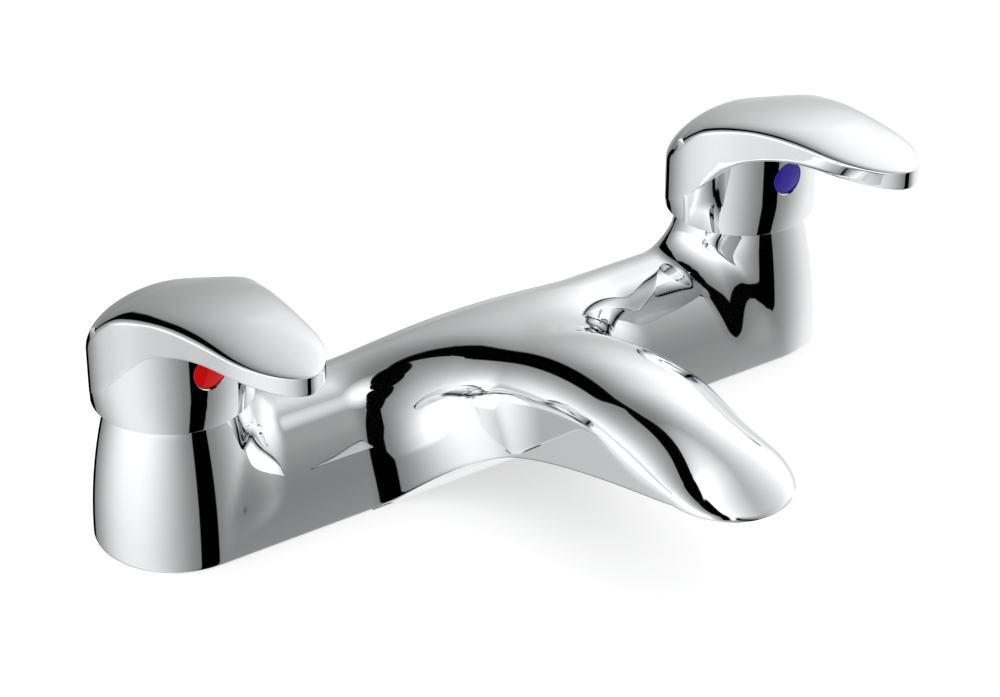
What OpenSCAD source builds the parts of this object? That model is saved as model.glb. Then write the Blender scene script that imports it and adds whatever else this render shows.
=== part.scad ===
// Bath filler with two lever handles. Millimetres, +Z up, the deck (bath rim) is the plane z = 0.
// The origin lies midway between the two tap centres; hot is at -X, cold at +X, the spout points to -Y.

/* [Casting] */
// Distance between the two tap centres
tap_spacing = 180; // [176:1:190]
// Height of a pillar above the deck
pillar_h = 41.5; // [40.5:0.1:42.5]
// Radius of a pillar at the deck
base_r = 22.3; // [21.5:0.1:24]
// Radius of a pillar at its top
neck_r = 16.3; // [16.2:0.05:17]
// Height of the bridge between the pillars
bridge_h = 28.9; // [27:0.1:31]
// How square the bridge's section is (2 is an ellipse)
bridge_power = 2.3; // [2:0.1:3]
// Radius of the hollow between pillar and bridge
pillar_fillet = 7.1; // [5:0.1:9]
// Radius of the hollow between spout and bridge
spout_fillet = 27; // [22:0.5:30]

/* [Spout] */
// Distance from the tap line to the middle of the outlet
reach = 110.3; // [104:0.5:118]
// Radius of the spout's round end
tip_r = 17.2; // [16.5:0.1:19]
// Half width of the spout where it leaves the bridge
root_w = 19.1; // [18.5:0.1:21]
// Height of the outlet's edge above the deck
outlet_z = 38.7; // [37:0.1:40]
// Height of the highest point of the spout
crown_z = 52.1; // [51.5:0.1:56]
// Distance of the highest point from the tap line
crown_y = 76.5; // [75:0.5:80]
// How far the ridge lies below its highest point at the tap line
root_drop = 28.5; // [26:0.5:29]
// How steeply the hollow under the spout starts
arch_steep = 12.1; // [8:0.1:16]
// How much the hollow flattens towards the outlet
arch_power = 0.52; // [0.48:0.01:0.56]
// How square the spout's section is (2 is an ellipse)
spout_power = 2; // [2:0.1:2.6]
// Part of the spout's height that is an upright wall
wall_share = 0.6; // [0.4:0.05:0.65]

/* [Waterways] */
// Radius of the waterway through the bridge
cross_way_r = 5.5; // [4.5:0.1:6]
// Height of the middle of that waterway
cross_way_z = 18; // [17.5:0.1:19]
// Radius of the waterway in the spout
spout_way_r = 5; // [4:0.1:5.3]
// Width of the flat channel that ends above the outlet
channel_w = 10.5; // [9:0.5:11]
// Height of that channel
channel_h = 2.8; // [2.5:0.1:3]

/* [Outlet] */
// Distance from the middle of the round end back to the middle of the outlet
outlet_back = 7.3; // [6:0.1:9]
// Outer radius of the screwed outlet cage
cage_r = 9.25; // [9:0.05:9.5]
// Depth of the recess for cage and seal
recess_h = 4.1; // [4:0.05:4.3]
// Height of the chamber above the seal
chamber_h = 2; // [1.8:0.1:2.2]
// Metal between the recess and the channel
channel_web = 0.8; // [0.7:0.05:1]
// Wall of the outlet cage
cage_wall = 1.7; // [1.5:0.1:1.9]
// Thickness of the outlet seal
outlet_seal_t = 0.8; // [0.6:0.05:1]
// Clear width of one cell of the flow straightener
cell_w = 2.2; // [1.8:0.1:2.4]
// Rib between two cells
cell_rib = 0.6; // [0.5:0.1:0.8]

/* [Inlet tails] */
// Radius over the 3/4 inch pipe thread
tail_r = 13.22; // [13.1:0.01:13.3]
// Bore radius of a tail
tail_bore_r = 9; // [8:0.1:9.4]
// Length of a tail below the deck
tail_l = 60; // [50:1:75]
// Radius of the plain nose at the tail's end, which centres a tap connector
nose_r = 11.9; // [11.4:0.1:12]
// Length of that nose
nose_l = 5; // [4:0.5:7]
// Radius of the spigot screwed into the pillar
spigot_r = 12; // [11.4:0.1:12.4]
// Height of that spigot
spigot_h = 8; // [7:0.1:9]
// Thickness of the bath rim that is clamped
deck_t = 15; // [8:1:25]
// Backnut width across flats
backnut_af = 36; // [34:0.5:40]
// Backnut height with its flange
backnut_h = 9; // [8:0.5:12]
// Backnut flange radius
backnut_flange_r = 21.5; // [21:0.5:24]
// Backnut flange thickness
backnut_flange_t = 2.5; // [2:0.1:3.5]
// Fibre washer thickness
washer_t = 2; // [1.5:0.1:3]
// Base gasket thickness, the depth of its recess
gasket_t = 1.5; // [1:0.1:2]
// Inner radius of the base gasket
gasket_in_r = 15.5; // [15:0.1:16.5]
// Outer radius of the base gasket
gasket_out_r = 20; // [19:0.1:20.4]

/* [Valves] */
// Metal between tail spigot and valve seat
seat_web = 3; // [2.5:0.1:3.5]
// Radius of the hole in the seat
seat_hole_r = 6.6; // [6:0.1:7]
// Radius over the valve body's thread
valve_r = 13.15; // [13:0.05:13.3]
// Length of that thread, below the hexagon
valve_thread_h = 17.2; // [15:0.1:18]
// Hexagon across flats
hex_af = 27.8; // [27:0.1:28]
// Height of the hexagon
hex_h = 6.6; // [6:0.1:7]
// Outer radius of the tube that holds the discs
disc_tube_r = 11; // [10.8:0.1:11.5]
// Wall of that tube
disc_tube_wall = 1.2; // [1:0.1:1.3]
// Thickness of the rubber seat seal
seat_seal_t = 2; // [1.6:0.1:2.2]
// Thickness of the fixed ceramic disc
fixed_disc_t = 3; // [2.6:0.1:3.2]
// Thickness of the moving ceramic disc
moving_disc_t = 2.6; // [2.4:0.1:2.8]
// Thickness of the spindle's driving flange
drive_t = 2.4; // [2:0.1:2.6]
// Width of the driving tang
tang_w = 3; // [2.6:0.1:3.4]
// Depth of the driving tang
tang_h = 1.2; // [1:0.1:1.4]
// Radius of the spindle in the valve body
stem_r = 5.5; // [5.2:0.05:5.8]
// Outer radius of the splined spindle end
spline_r = 4; // [3.8:0.05:4.2]
// Number of splines
spline_count = 20; // [16:2:24]
// Depth of a spline
spline_depth = 0.4; // [0.3:0.05:0.5]
// Length of the splines
spline_h = 8; // [7:0.1:9]
// Thickness of an O-ring on the spindle or valve body
ring_t = 1.8; // [1.6:0.05:1.9]
// Circlip thickness
clip_t = 0.9; // [0.7:0.05:1]
// Circlip outer radius
clip_r = 7.4; // [6.8:0.1:7.6]

/* [Handles] */
// How far the skirt's rim hangs below the pillar's top
skirt_drop = 1.3; // [1.1:0.05:1.7]
// Radius of the round skirt
skirt_r = 20.7; // [20.4:0.1:21.5]
// Wall of the skirt
skirt_wall = 3; // [2.6:0.1:3.1]
// Depth of the hollow from the rim to the boss
hollow_h = 10.2; // [10:0.1:11]
// Reach of the lever from the axis of its pillar
lever_l = 69.3; // [64:0.5:76]
// Height of the lever's edge at its tip above the rim
lever_h = 38.8; // [37:0.1:42]
// Thickness of the lever's edge at its tip
lever_edge = 5; // [4.8:0.1:6]
// How far the head stands proud of the skirt
head_lip = 0.1; // [0.1:0.05:0.4]
// Radius of the splined bush
bush_r = 7; // [6.4:0.1:7.3]
// Radius of the boss round the bush
boss_r = 9.8; // [9.4:0.1:10.4]
// Radius of the index button
button_r = 4.5; // [4:0.1:4.8]
// Thickness of the index button
button_t = 2.6; // [2.2:0.1:2.7]
// Height of the button's middle above the rim
button_h = 15.8; // [15.2:0.1:16.2]
// Radius of the grub screw
screw_r = 2.5; // [2:0.1:3]
// Length of the grub screw
screw_l = 8; // [6:0.5:9]
// Hexagon socket of the grub screw across flats
socket_af = 2.5; // [2:0.1:3]

/* [Fits] */
// Radial clearance of a turning fit
running_gap = 0.05; // [0.03:0.01:0.08]
// Radial clearance of a screwed or seated piece
seat_gap = 0.1; // [0.08:0.01:0.15]
// Clearance between pieces that must not touch
free_gap = 0.3; // [0.25:0.05:0.4]

/* [Hidden] */

// Sides of the pillar, hot at -X and cold at +X
hot_x = -tap_spacing / 2;
cold_x = tap_spacing / 2;
half = tap_spacing / 2;
front_y = -base_r;

// Heights in the valve, from the seat upwards
seat_z = spigot_h + seat_web;
fixed_z = seat_z + seat_seal_t;
moving_z = fixed_z + fixed_disc_t;
drive_z = moving_z + moving_disc_t;
shoulder_z = drive_z + drive_t + free_gap;
valve_thread_z = pillar_h - valve_thread_h;
hex_top_z = pillar_h + hex_h;
clip_z = hex_top_z + free_gap;
clip_in_r = stem_r - clip_t;
stem_top_z = clip_z + 2 * clip_t + free_gap;
spline_top_z = stem_top_z + spline_h;
pocket_r = valve_r + seat_gap;
disc_r = disc_tube_r - disc_tube_wall - seat_gap;
tube_lift = seat_seal_t / 2;
groove_share = 2.5;
groove_pitch = groove_share * ring_t;
overrun = 1;

// Outlet heights and its middle
outlet_y = outlet_back - reach;
recess_r = cage_r + seat_gap;
recess_top_z = outlet_z + recess_h;
cage_bore_r = cage_r - cage_wall;
chamber_share = 0.62;
chamber_r = cage_r * chamber_share;
channel_z = recess_top_z + channel_web;

// Handle heights and radii
rim_z = pillar_h - skirt_drop;
hollow_r = skirt_r - skirt_wall;
boss_z = rim_z + hollow_h;
roof_share = 0.6;
roof_z = boss_z + boss_r * roof_share;
button_z = rim_z + button_h;
bush_z = stem_top_z + free_gap;
bush_top_z = spline_top_z + free_gap;
head_r = skirt_r + head_lip;

facets = 64;
fine = 96;

// A curve through points [x, y], with a slope at each point taken from its neighbours
function slope_at(p, i) = let (a = max(i - 1, 0), b = min(i + 1, len(p) - 1))
    (p[b].y - p[a].y) / (p[b].x - p[a].x);
function piece_of(p, x, i = 0) = i >= len(p) - 2 || x < p[i + 1].x ? i : piece_of(p, x, i + 1);
function curve(p, x) = let (u = min(max(x, p[0].x), p[len(p) - 1].x), i = piece_of(p, u),
    w = p[i + 1].x - p[i].x, t = (u - p[i].x) / w)
    p[i].y * (1 + 2 * t) * pow(1 - t, 2) + slope_at(p, i) * w * t * pow(1 - t, 2)
    + p[i + 1].y * t * t * (3 - 2 * t) - slope_at(p, i + 1) * w * t * t * (1 - t);

// The casting's skin: signed distances to pillar, bridge and spout, joined with a hollow fillet
speck = 0.000001;
function ease(t) = let (s = min(max(t, 0), 1)) s * s * (3 - 2 * s);
function joined(a, b, r) = max(r, min(a, b)) - norm([max(r - a, 0), max(r - b, 0)]);
function pillar_radius(z) = base_r - (base_r - neck_r) * pow(z / pillar_h, 2);
function to_pillar(x, y, z) = let (h = max(z, 0), lean = 2 * (base_r - neck_r) * h / pow(pillar_h, 2))
    (norm([abs(x) - half, y]) - pillar_radius(h)) / norm([1, lean]);
// Signed distance to a rounded section of half width w and height h
function to_section(u, v, n, w, h) = let (s = pow(u, n) + pow(v, n) + speck, k = pow(s, 1 / n - 1))
    (pow(s, 1 / n) - 1) / (k * norm([pow(u, n - 1) / w, pow(v, n - 1) / h]) + speck);
function to_bridge(x, y, z) = max(abs(x) - half,
    to_section(abs(y) / base_r, max(z, 0) / bridge_h, bridge_power, base_r, bridge_h));
// The hollow between pillar and bridge fades out towards the deck and towards the middle of the pillar
function hollow_r_at(x, z) = pillar_fillet * ease((half - abs(x)) / neck_r) * ease(2 * z / bridge_h);
function arch_z(y) = let (t = min(max((front_y - y) / (front_y + reach), 0), 1))
    outlet_z * t * pow((1 + arch_steep) / (1 + arch_steep * t), arch_power);
function under(x, y) = abs(x) > corner_x ? 0 : arch_z(y);
function ridge_z(y) = crown_z - root_drop * pow((-y - crown_y) / crown_y, 2);
function spout_w(y) = tip_r + (root_w - tip_r) * min(max(1 + y / reach, 0), 1);
back_r = root_w / 3;
function to_spout(x, y, z) = let (w = y > -reach ? spout_w(min(y, 0)) : tip_r,
    t = y > -reach ? norm([x / w, max(y, 0) / back_r]) : norm([x, y + reach]) / tip_r,
    low = arch_z(y), top = ridge_z(min(max(y, -reach - tip_r), back_r)),
    wall = low + wall_share * (top - low))
    to_section(t, max(z - wall, 0) / (top - wall), spout_power, w, top - wall);
function to_skin(x, y, z) = let (near = norm([abs(x) - half, y]) < base_r + pillar_fillet,
    low_part = joined(to_pillar(x, y, z), to_bridge(x, y, z), hollow_r_at(x, z)))
    max(z - pillar_h - (near ? 0 : crown_z), joined(low_part, to_spout(x, y, z), spout_fillet));

// Distance along a ray at which it leaves the skin, by halving
halvings = 20;
function leave(o, d, a = 0, b = half, n = halvings) = n == 0 ? (a + b) / 2 :
    let (m = (a + b) / 2, p = o + d * m)
    to_skin(p.x, p.y, p.z) < 0 ? leave(o, d, m, b, n - 1) : leave(o, d, a, m, n - 1);
// The same along the underside, whose height follows the hollow under the spout
function leave_low(o, d, a = 0, b = half, n = halvings) = n == 0 ? (a + b) / 2 :
    let (m = (a + b) / 2, p = o + d * m)
    to_skin(p.x, p.y, under(p.x, p.y)) < 0 ? leave_low(o, d, m, b, n - 1) : leave_low(o, d, a, m, n - 1);

// Stations on the middle lines of bridge and spout, from which the skin is drawn
fan_steps = 14;
neck_steps = 5;
flank_steps = 8;
corner_steps = 9;
deck_steps = 3;
root_steps = deck_steps + 7;
spout_steps = 8;
rise_rows = 11;
corner_x = half * 2 / 3;
corner_share = 0.65;
corner_y = -reach * corner_share;
flank_spread = 1.6;
root_spread = 1.3;
sole_shares = [0, 0.15, 0.5];
edge_share = 0.04;
start_share = 0.01;
arch_start = outlet_z * start_share;
steepest = 82;
function half_stations() = let (flank_x = half - neck_r) concat(
    [for (k = [0 : neck_steps]) half - neck_r * sin(k * 90 / neck_steps)],
    [for (k = [1 : flank_steps]) flank_x - (flank_x - corner_x) * pow(k / flank_steps, flank_spread)],
    [for (k = [1 : corner_steps]) corner_x * (1 - k / corner_steps)]);
function spout_stations() = let (n = root_steps - deck_steps) concat(
    [for (k = [1 : deck_steps]) front_y * k / deck_steps],
    [for (k = [1 : n]) front_y + (corner_y - front_y) * pow(k / n, root_spread)],
    [for (k = [1 : spout_steps]) corner_y - (reach + corner_y) * k / spout_steps]);
function turned(y) = 45 * y / corner_y;

// One upright cut through the skin: [points from the underside to the top, station number]
function cut(c, heading, s) = let (d = [cos(heading), sin(heading)], low = under(c.x, c.y),
    e = leave_low([c.x, c.y], d), edge = [c.x, c.y] + d * e, raised = under(edge.x, edge.y),
    edge_z = raised < arch_start ? 0 : raised, crosses = c.y > front_y && edge_z > 0,
    f = crosses ? (front_y - c.y) / d.y : c.y > front_y ? e / 2 : e * edge_share,
    first = atan2(edge_z - low, e),
    flat = sqrt(max(pow(neck_r, 2) - pow(half - abs(c.x), 2), 0)),
    last = min(atan2(pillar_h, flat), steepest), o = [c.x, c.y, low])
    [concat(
        [for (t = sole_shares) let (p = [c.x, c.y] + d * (f + (e - f) * t)) [p.x, p.y, under(p.x, p.y)]],
        [[edge.x, edge.y, edge_z]],
        [for (k = [1 : rise_rows]) let (a = first + (last - first) * k / rise_rows,
            r = [d.x * cos(a), d.y * cos(a), sin(a)]) o + r * leave(o, r)],
        [let (a = (last + 90) / 2, r = [d.x * cos(a), d.y * cos(a), sin(a)]) o + r * leave(o, r)]), s];

module casting_skin() {
    hs = half_stations();
    ys = spout_stations();
    n = len(hs) - 1;
    m = len(ys) - 1;
    xs = [for (i = [0 : 2 * n]) i <= n ? hs[i] : -hs[2 * n - i]];
    bend = n - corner_steps;
    stations = concat([for (x = xs) [x, 0]], [for (y = ys) [0, y]]);
    y0 = 2 * n + 1;
    cuts = concat(
        [for (k = [0 : fan_steps - 1]) cut(stations[0], -90 + 180 * k / fan_steps, 0)],
        [for (i = [0 : 2 * n]) cut(stations[i], 90, i)],
        [for (k = [1 : fan_steps]) cut(stations[2 * n], 90 + 180 * k / fan_steps, 2 * n)],
        [for (i = [2 * n - 1 : -1 : 2 * n - bend]) cut(stations[i], 270, i)],
        [for (k = [1 : corner_steps]) let (i = 2 * n - bend - k)
            cut(stations[i], 270 - 45 * k / corner_steps, i)],
        [for (j = [0 : root_steps - 1]) cut(stations[y0 + j], 225 - turned(ys[j]), y0 + j)],
        [for (j = [root_steps : m]) cut(stations[y0 + j], 180, y0 + j)],
        [for (k = [1 : fan_steps]) cut(stations[y0 + m], 180 + 180 * k / fan_steps, y0 + m)],
        [for (j = [m - 1 : -1 : root_steps]) cut(stations[y0 + j], 0, y0 + j)],
        [for (j = [root_steps - 1 : -1 : 0]) cut(stations[y0 + j], 315 + turned(ys[j]), y0 + j)],
        [for (k = [corner_steps : -1 : 1]) cut(stations[bend + k], 270 + 45 * k / corner_steps, bend + k)],
        [for (i = [bend : -1 : 1]) cut(stations[i], 270, i)]);
    c = len(cuts);
    r = len(cuts[0][0]);
    lows = [for (p = stations) [p.x, p.y, under(p.x, p.y)]];
    tops = [for (p = lows) p + [0, 0, leave(p, [0, 0, 1])]];
    at = function (i, k) k == 0 ? c * r + cuts[i][1] : k == r + 1 ? c * r + len(stations) + cuts[i][1]
        : i * r + k - 1;
    faces = [for (i = [0 : c - 1], k = [0 : r]) let (j = (i + 1) % c)
        each [[at(i, k), at(i, k + 1), at(j, k + 1)], [at(i, k), at(j, k + 1), at(j, k)]]];
    polyhedron(concat([for (u = cuts) each u[0]], lows, tops),
        [for (f = faces) if (f[0] != f[1] && f[1] != f[2] && f[2] != f[0]) f], convexity = 8);
}

// A round bore from one point to another and a little past it
module way(a, b, r, past) {
    d = b - a;
    translate(a) rotate([0, acos(d.z / norm(d)), atan2(d.y, d.x)]) cylinder(norm(d) + past, r, r, $fn = fine);
}

knee_share = 1.9;
sink_share = 0.3;
second_share = 0.9;
knee_y = front_y * knee_share;
way_root = [0, 0, cross_way_z];
way_knee = [0, knee_y, (arch_z(knee_y) + ridge_z(knee_y)) / 2];
way_end = [0, outlet_y + recess_r, channel_z + channel_h / 2 - spout_way_r * sink_share];

module body() {
    socket_r = spigot_r + seat_gap;
    color([0.8, 0.82, 0.83]) difference() {
        casting_skin();
        for (x = [hot_x, cold_x]) translate([x, 0, 0]) {
            translate([0, 0, -overrun]) cylinder(spigot_h + overrun, socket_r, socket_r, $fn = fine);
            cylinder(pillar_h, seat_hole_r, seat_hole_r, $fn = fine);
            translate([0, 0, seat_z]) cylinder(pillar_h, pocket_r, pocket_r, $fn = fine);
            translate([0, 0, -overrun]) difference() {
                cylinder(gasket_t + overrun, gasket_out_r + seat_gap, gasket_out_r + seat_gap, $fn = fine);
                cylinder(gasket_t + overrun, gasket_in_r - seat_gap, gasket_in_r - seat_gap, $fn = fine);
            }
        }
        translate([hot_x, 0, cross_way_z]) rotate([0, 90, 0])
            cylinder(tap_spacing, cross_way_r, cross_way_r, $fn = fine);
        way(way_root, way_knee, spout_way_r, overrun);
        way(way_knee, way_end, spout_way_r * second_share, 0);
        translate([-channel_w / 2, outlet_y, channel_z]) cube([channel_w, way_end.y - outlet_y, channel_h]);
        translate([0, outlet_y, recess_top_z - overrun])
            cylinder(chamber_h + overrun, chamber_r, chamber_r, $fn = fine);
        translate([0, outlet_y, 0]) cylinder(recess_top_z, recess_r, recess_r, $fn = fine);
    }
}

// Outlet fittings, seated in the recess under the spout's end
module flow_cage() {
    cage_h = recess_h - outlet_seal_t - seat_gap;
    ledge_r = cage_bore_r - cage_wall / 2;
    color([0.75, 0.76, 0.78]) translate([0, outlet_y, outlet_z + seat_gap]) difference() {
        cylinder(cage_h, cage_r, cage_r, $fn = fine);
        translate([0, 0, cage_wall / 2]) cylinder(cage_h, cage_bore_r, cage_bore_r, $fn = fine);
        translate([0, 0, -overrun]) cylinder(cage_h, ledge_r, ledge_r, $fn = fine);
    }
}

module flow_insert() {
    insert_r = cage_bore_r - seat_gap;
    insert_h = recess_h - outlet_seal_t - seat_gap - cage_wall / 2;
    grid = cell_w + cell_rib;
    reach_in = floor(insert_r / grid);
    color([0.92, 0.92, 0.9]) translate([0, outlet_y, outlet_z + seat_gap + cage_wall / 2]) difference() {
        cylinder(insert_h, insert_r, insert_r, $fn = fine);
        for (i = [-reach_in : reach_in], j = [-reach_in : reach_in])
            if (norm([abs(i) * grid + cell_w / 2, abs(j) * grid + cell_w / 2]) < insert_r - cell_rib)
                translate([i * grid - cell_w / 2, j * grid - cell_w / 2, -overrun])
                    cube([cell_w, cell_w, insert_h + 2 * overrun]);
    }
}

module flow_seal() {
    color([0.15, 0.15, 0.15]) translate([0, outlet_y, recess_top_z - outlet_seal_t])
        ring_washer(cage_r, chamber_r, outlet_seal_t);
}

module ring_washer(outer, inner, t) {
    difference() {
        cylinder(t, outer, outer, $fn = fine);
        translate([0, 0, -overrun]) cylinder(t + 2 * overrun, inner, inner, $fn = fine);
    }
}

// Inlet tail: threaded tube below the deck with a plain nose, and a spigot screwed into the pillar
module tail(x) {
    color([0.80, 0.66, 0.36]) translate([x, 0, 0]) difference() {
        union() {
            translate([0, 0, -tail_l]) cylinder(tail_l, nose_r, nose_r, $fn = fine);
            translate([0, 0, nose_l - tail_l]) cylinder(tail_l - nose_l, tail_r, tail_r, $fn = fine);
            translate([0, 0, -overrun]) cylinder(spigot_h + overrun, spigot_r, spigot_r, $fn = fine);
        }
        translate([0, 0, -tail_l - overrun])
            cylinder(tail_l + spigot_h + 2 * overrun, tail_bore_r, tail_bore_r, $fn = fine);
    }
}

module backnut(x) {
    corner_r = backnut_af / 2 / cos(30);
    color([0.82, 0.69, 0.40]) translate([x, 0, -deck_t - washer_t - backnut_h]) difference() {
        union() {
            cylinder(backnut_h, corner_r, corner_r, $fn = 6);
            translate([0, 0, backnut_h - backnut_flange_t])
                cylinder(backnut_flange_t, backnut_flange_r, backnut_flange_r, $fn = fine);
        }
        translate([0, 0, -overrun])
            cylinder(backnut_h + 2 * overrun, tail_r + seat_gap, tail_r + seat_gap, $fn = fine);
    }
}

module tail_washer(x) {
    color([0.55, 0.22, 0.16]) translate([x, 0, -deck_t - washer_t])
        ring_washer(backnut_flange_r, tail_r + free_gap, washer_t);
}

module base_gasket(x) {
    color([0.12, 0.12, 0.12]) translate([x, 0, 0]) ring_washer(gasket_out_r, gasket_in_r, gasket_t);
}

// Valve body: hexagon on the pillar, thread in the pocket, tube for the discs with four windows
module valve_body(x) {
    window_share = 0.6;
    window_w = disc_tube_r * window_share;
    bore_r = stem_r + running_gap;
    hex_r = hex_af / 2 / cos(30);
    tube_in_r = disc_r + seat_gap;
    groove_r = valve_r - ring_t;
    groove_z = pillar_h - groove_pitch / 2;
    color([0.82, 0.68, 0.38]) translate([x, 0, 0]) difference() {
        union() {
            translate([0, 0, pillar_h]) cylinder(hex_h, hex_r, hex_r, $fn = 6);
            translate([0, 0, valve_thread_z]) cylinder(valve_thread_h, valve_r, valve_r, $fn = fine);
            translate([0, 0, seat_z + tube_lift])
                cylinder(valve_thread_z - seat_z, disc_tube_r, disc_tube_r, $fn = fine);
        }
        translate([0, 0, seat_z]) cylinder(shoulder_z - seat_z, tube_in_r, tube_in_r, $fn = fine);
        cylinder(hex_top_z + overrun, bore_r, bore_r, $fn = fine);
        for (a = [0, 90]) rotate([0, 0, a])
            translate([-disc_tube_r - overrun, -window_w / 2, moving_z + free_gap])
            cube([2 * (disc_tube_r + overrun), window_w, shoulder_z - moving_z - 2 * free_gap]);
        translate([0, 0, groove_z]) difference() {
            cylinder(ring_t + 2 * seat_gap, valve_r + overrun, valve_r + overrun, $fn = fine);
            translate([0, 0, -overrun]) cylinder(groove_pitch, groove_r, groove_r, $fn = fine);
        }
    }
}

module o_ring(middle_r) {
    rotate_extrude($fn = fine) translate([middle_r, 0]) circle(ring_t / 2, $fn = 32);
}

module valve_ring(x) {
    color([0.1, 0.1, 0.1]) translate([x, 0, pillar_h - groove_pitch / 2 + ring_t / 2 + seat_gap])
        o_ring(valve_r - ring_t / 2 + running_gap / 2);
}

module seat_seal(x) {
    color([0.1, 0.1, 0.1]) translate([x, 0, seat_z]) ring_washer(disc_r, seat_hole_r, seat_seal_t);
}

// Ceramic discs: two quarter ports each, a quarter turn closes them
port_share = 0.72;
module ports(t) {
    port_r = disc_r * port_share;
    for (a = [0, 180]) rotate([0, 0, a]) translate([0, 0, -overrun]) intersection() {
        cylinder(t + 2 * overrun, port_r, port_r, $fn = fine);
        translate([tang_w, tang_w / 2, 0]) cube([port_r, port_r, t + 2 * overrun]);
    }
}

module fixed_disc(x) {
    color([0.93, 0.93, 0.9]) translate([x, 0, fixed_z]) difference() {
        cylinder(fixed_disc_t, disc_r, disc_r, $fn = fine);
        ports(fixed_disc_t);
    }
}

module moving_disc(x) {
    color([0.88, 0.88, 0.86]) translate([x, 0, moving_z]) difference() {
        cylinder(moving_disc_t, disc_r - seat_gap, disc_r - seat_gap, $fn = fine);
        rotate([0, 0, 90]) ports(moving_disc_t);
        translate([-disc_r, -tang_w / 2 - seat_gap, moving_disc_t - tang_h - seat_gap])
            cube([2 * disc_r, tang_w + 2 * seat_gap, tang_h + overrun]);
    }
}

ring_shares = [1, 2.6];
ring_heights = [for (s = ring_shares) shoulder_z + s * groove_pitch];

module spline_star(gap) {
    polygon([for (k = [0 : 2 * spline_count - 1])
        (k % 2 == 0 ? spline_r + gap : spline_r - spline_depth + gap)
        * [cos(k * 180 / spline_count), sin(k * 180 / spline_count)]]);
}

// Spindle: tang and flange on the moving disc, grooved stem, circlip groove, splined end
module spindle(x) {
    flange_share = 0.86;
    flange_r = disc_r * flange_share;
    groove_r = stem_r - ring_t;
    color([0.78, 0.66, 0.38]) translate([x, 0, 0]) difference() {
        union() {
            intersection() {
                translate([-disc_r, -tang_w / 2, drive_z - tang_h])
                    cube([2 * disc_r, tang_w, tang_h + drive_t / 2]);
                cylinder(hex_top_z, flange_r, flange_r, $fn = fine);
            }
            translate([0, 0, drive_z]) cylinder(drive_t, flange_r, flange_r, $fn = fine);
            translate([0, 0, drive_z]) cylinder(stem_top_z - drive_z, stem_r, stem_r, $fn = fine);
            translate([0, 0, stem_top_z - overrun]) linear_extrude(spline_h + overrun) spline_star(0);
        }
        for (z = ring_heights) translate([0, 0, z - ring_t / 2 - seat_gap]) difference() {
            cylinder(ring_t + 2 * seat_gap, stem_r + overrun, stem_r + overrun, $fn = fine);
            translate([0, 0, -overrun]) cylinder(groove_pitch, groove_r, groove_r, $fn = fine);
        }
        translate([0, 0, clip_z]) difference() {
            cylinder(clip_t + seat_gap, stem_r + overrun, stem_r + overrun, $fn = fine);
            translate([0, 0, -overrun]) cylinder(groove_pitch, clip_in_r, clip_in_r, $fn = fine);
        }
    }
}

module spindle_rings(x) {
    color([0.1, 0.1, 0.1]) translate([x, 0, 0]) for (z = ring_heights)
        translate([0, 0, z]) o_ring(stem_r - ring_t / 2 + running_gap / 2);
}

module circlip(x) {
    mouth_share = 1.6;
    mouth = clip_in_r * mouth_share;
    color([0.45, 0.46, 0.48]) translate([x, 0, clip_z + seat_gap / 2]) difference() {
        ring_washer(clip_r, clip_in_r + seat_gap, clip_t);
        translate([0, -mouth / 2, -overrun]) cube([clip_r + overrun, mouth, clip_t + 2 * overrun]);
    }
}

module handle_bush(x) {
    bush_h = bush_top_z - bush_z;
    color([0.9, 0.9, 0.88]) translate([x, 0, bush_z]) difference() {
        cylinder(bush_h, bush_r, bush_r, $fn = fine);
        translate([0, 0, -overrun]) linear_extrude(bush_h + 2 * overrun) spline_star(running_gap);
    }
}

// Lever head: outline, upper edge, crown and lower edge along the lever, as shares of its length and height
round_share = 0.665;
round_u = lever_l * round_share;
tip_power = 1.6;
crown_power = 0.49;
width_shares = [[0, 1], [0.1, 0.936], [0.25, 0.812], [0.404, 0.732], [0.55, 0.668], [round_share, 0.613]];
edge_shares = [[-0.3, 0.29], [-0.2, 0.31], [-0.087, 0.40], [-0.03, 0.51], [0.10, 0.728], [0.25, 0.845],
    [0.368, 0.905], [0.577, 0.957], [0.82, 0.987], [1, 1]];
crown_shares = [[-0.3, 0.31], [-0.247, 0.454], [-0.186, 0.584], [-0.105, 0.7], [0, 0.77], [0.1, 0.83],
    [0.25, 0.903], [0.404, 0.967], [0.55, 1.008], [round_share, 1.026]];
under_shares = [[-0.3, 0], [-0.16, 0.023], [-0.03, 0.151], [0.092, 0.36], [0.216, 0.62], [0.332, 0.778],
    [0.563, 0.947], [0.80, 1.001], [1, 1]];
function edge_z(u) = rim_z + lever_h * curve(edge_shares, u / lever_l);
function crown_top_z(u) = rim_z + lever_h * curve(crown_shares, u / lever_l);
function under_z(u) = max(rim_z, min(edge_z(u) - lever_edge / 2,
    rim_z + (lever_h - lever_edge) * curve(under_shares, u / lever_l)));
function side_w(u) = head_r * curve(width_shares, u / lever_l);
function round_off(a) = 1 / pow(pow(abs(cos(a)) / (lever_l - round_u), tip_power)
    + pow(abs(sin(a)) / side_w(round_u), tip_power), 1 / tip_power);

crown_rows = 7;
lever_steps = 12;
head_fan = 14;
crown_spread = 1.9;
belly_shares = [0.5, 0.85];
rise_share = 0.3;
under_rise = lever_edge * rise_share;
// Height of the crown over a point, from its middle line and the edge beside it
function head_w(u) = u < 0 ? sqrt(max(pow(head_r, 2) - pow(u, 2), speck)) : side_w(u);
function crown_z_at(u, v) = edge_z(u)
    + (crown_top_z(u) - edge_z(u)) * pow(1 - pow(min(abs(v) / head_w(u), 1), 2), crown_power);
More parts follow.
